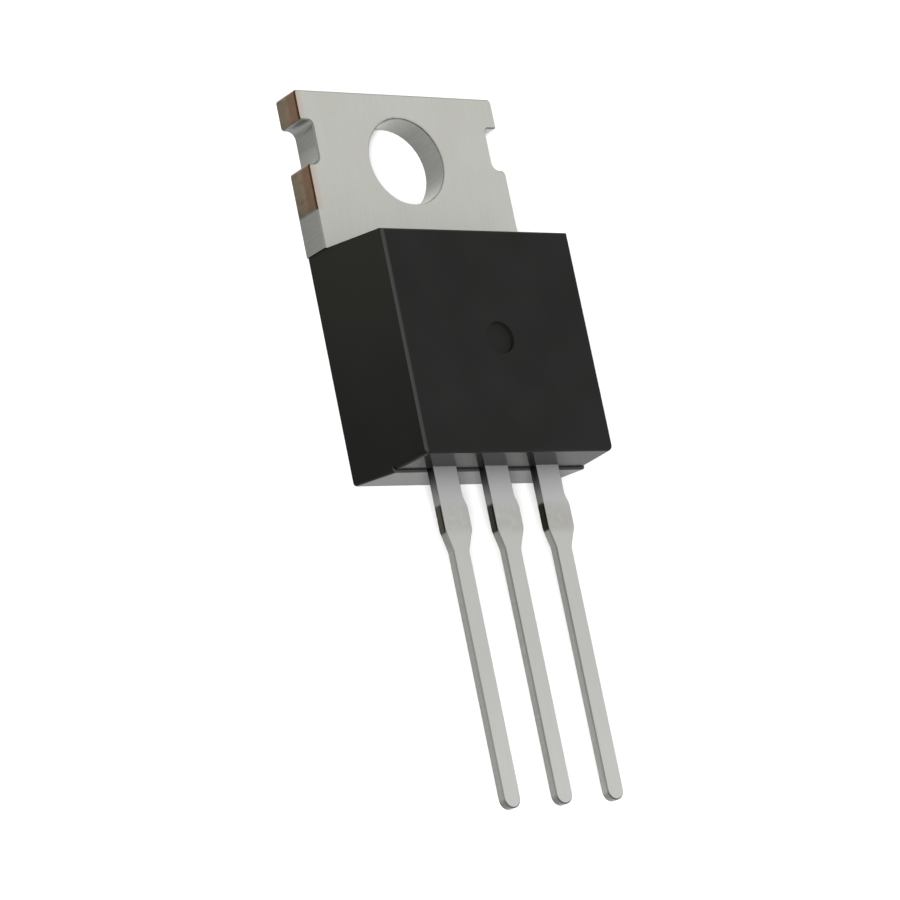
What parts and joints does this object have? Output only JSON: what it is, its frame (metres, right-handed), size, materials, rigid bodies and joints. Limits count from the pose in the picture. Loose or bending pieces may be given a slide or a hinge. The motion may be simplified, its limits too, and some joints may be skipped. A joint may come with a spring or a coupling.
{
  "type": "transistor",
  "caption": "Power transistor with a drilled, notched metal mounting tab, a black drafted epoxy body and straight tinned leads that narrow past their cut stubs.",
  "frame": {"origin": "on the axis of the mounting hole, at the flat metal back of the tab", "axes": "+Z along the hole axis towards the moulded front, +Y towards the top of the tab, leads along -Y, +X to the right seen from the front with the leads down"},
  "size_m": [0.0098, 0.0296, 0.0046],
  "materials": {
    "moulding_compound": "black epoxy moulding compound, finely matt from a spark-eroded mould",
    "tinned_copper": "satin tin plate over copper, bare copper where the strip was sheared after plating",
    "silicon": "polished silicon, opaque",
    "solder": "dull grey die-attach solder",
    "bond_wire": "drawn aluminium wire"
  },
  "bodies": {
    "root": {"epoxy_body": "moulding_compound", "collector_tab": "tinned_copper", "base_lead": "tinned_copper", "emitter_lead": "tinned_copper", "silicon_die": "silicon", "die_solder": "solder", "base_wire": "bond_wire", "emitter_wire": "bond_wire"}
  },
  "joints": []
}
